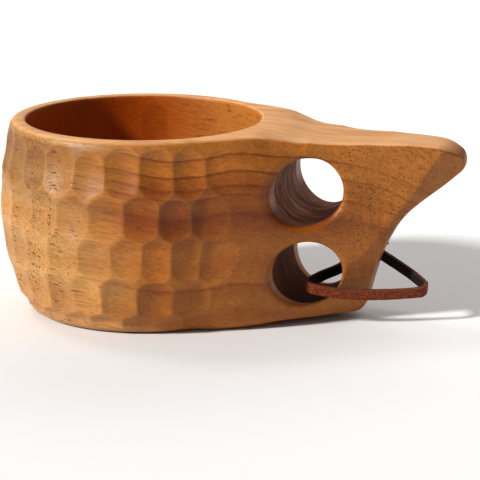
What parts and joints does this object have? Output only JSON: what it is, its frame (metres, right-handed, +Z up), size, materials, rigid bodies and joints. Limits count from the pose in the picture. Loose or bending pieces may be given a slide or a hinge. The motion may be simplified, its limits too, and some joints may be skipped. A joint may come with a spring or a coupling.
{
  "type": "kuksa wooden cup",
  "caption": "Carved wooden drinking cup with a round bowl, a tapering handle pierced by finger holes, and a small tied leather loop.",
  "frame": {"origin": "centre of the bowl's flat base", "axes": "+Z up, +X from the bowl along the handle to its tip, +Y away from the side that shows the lace's long front run"},
  "size_m": [0.1557, 0.095, 0.0646],
  "materials": {
    "cup_wood": "oiled honey-brown hardwood, carved in shallow gouge facets on the bowl and smoothed on the handle",
    "lace_leather": "red-brown leather lace with a near-black inner side"
  },
  "bodies": {
    "cup": {"cup_body": "cup_wood"},
    "lace": {"leather_lace": "lace_leather", "lace_knot": "lace_leather"}
  },
  "joints": [
    {"name": "lace_swing", "type": "hinge", "parent": "cup", "child": "lace", "pos_m": [0.0666, 0, 0.015], "axis": [0, -1, 0], "range_deg": [-17, 12]}
  ]
}
